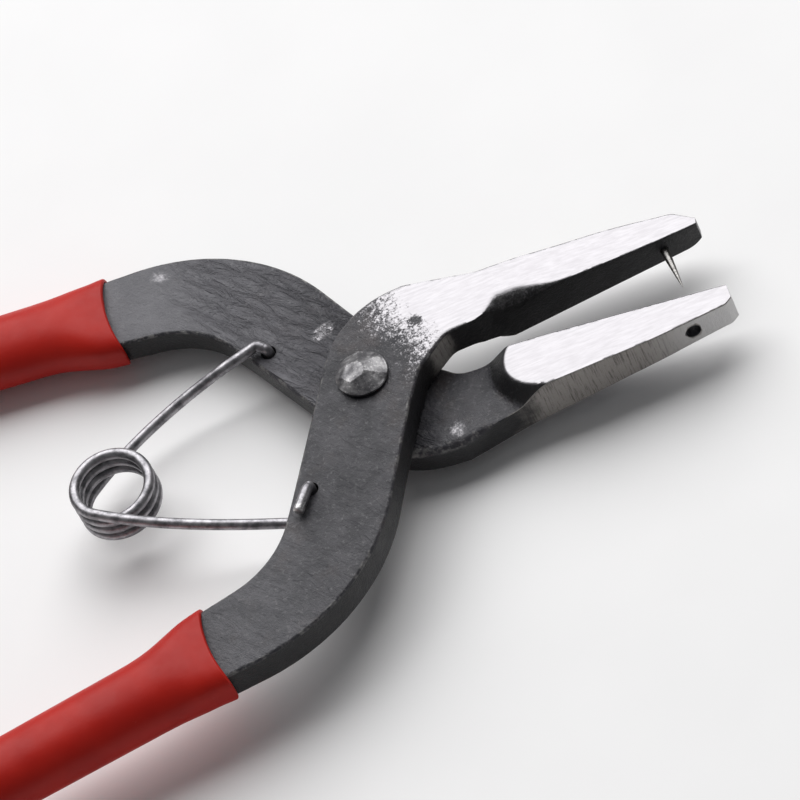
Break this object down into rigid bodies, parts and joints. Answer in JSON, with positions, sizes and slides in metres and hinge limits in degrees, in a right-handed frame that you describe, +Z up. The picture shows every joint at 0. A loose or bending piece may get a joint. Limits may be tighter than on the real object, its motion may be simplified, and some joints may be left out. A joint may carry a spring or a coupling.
{
  "type": "snap setter pliers",
  "caption": "Hand pliers with two forged levers crossed on a rivet, a torsion spring, dipped sleeves, and jaws that close a piercing needle into a hole.",
  "frame": {"origin": "centre of the bounding box's bottom face, with the tool lying flat and open; the pivot's axis is 24.35 mm along +X and the lap plane is 6.9 mm up", "axes": "+X along the tool towards the jaws, +Y across it towards the back lever's handle, +Z up through the front lever's face"},
  "size_m": [0.1534, 0.09, 0.0144],
  "materials": {
    "black_steel": "black oxide over a forged skin, with the jaw faces ground bright",
    "rivet_steel": "hammered, darkened",
    "needle_steel": "ground point",
    "spring_steel": "drawn wire, satin",
    "red_vinyl": "dipped vinyl, soft gloss"
  },
  "bodies": {
    "back_lever": {"back_lever": "black_steel", "back_grip": "red_vinyl", "pivot_rivet": "rivet_steel"},
    "front_lever": {"front_lever": "black_steel", "front_grip": "red_vinyl", "needle": "needle_steel"},
    "spring_back": {"spring_back_half": "spring_steel"},
    "spring_front": {"spring_front_half": "spring_steel"}
  },
  "joints": [
    {"name": "jaw_pivot", "type": "hinge", "parent": "back_lever", "child": "front_lever", "pos_m": [0.02435, 0, 0.0069], "axis": [0, 0, -1], "range_deg": [0, 12.9], "stiffness_Nm_per_rad": 1.5},
    {"name": "spring_back_hook", "type": "hinge", "parent": "back_lever", "child": "spring_back", "pos_m": [0.01205, 0.0151, 0.0069], "axis": [0, 0, 1], "range_deg": [-10, 0]},
    {"name": "spring_front_hook", "type": "hinge", "parent": "front_lever", "child": "spring_front", "pos_m": [0.01205, -0.0151, 0.0069], "axis": [0, 0, 1], "range_deg": [0, 9.2]}
  ],
  "couplings": [
    {"joint": "spring_back_hook", "follows": "jaw_pivot", "ratio": -0.7695},
    {"joint": "spring_front_hook", "follows": "jaw_pivot", "ratio": 0.7018}
  ]
}
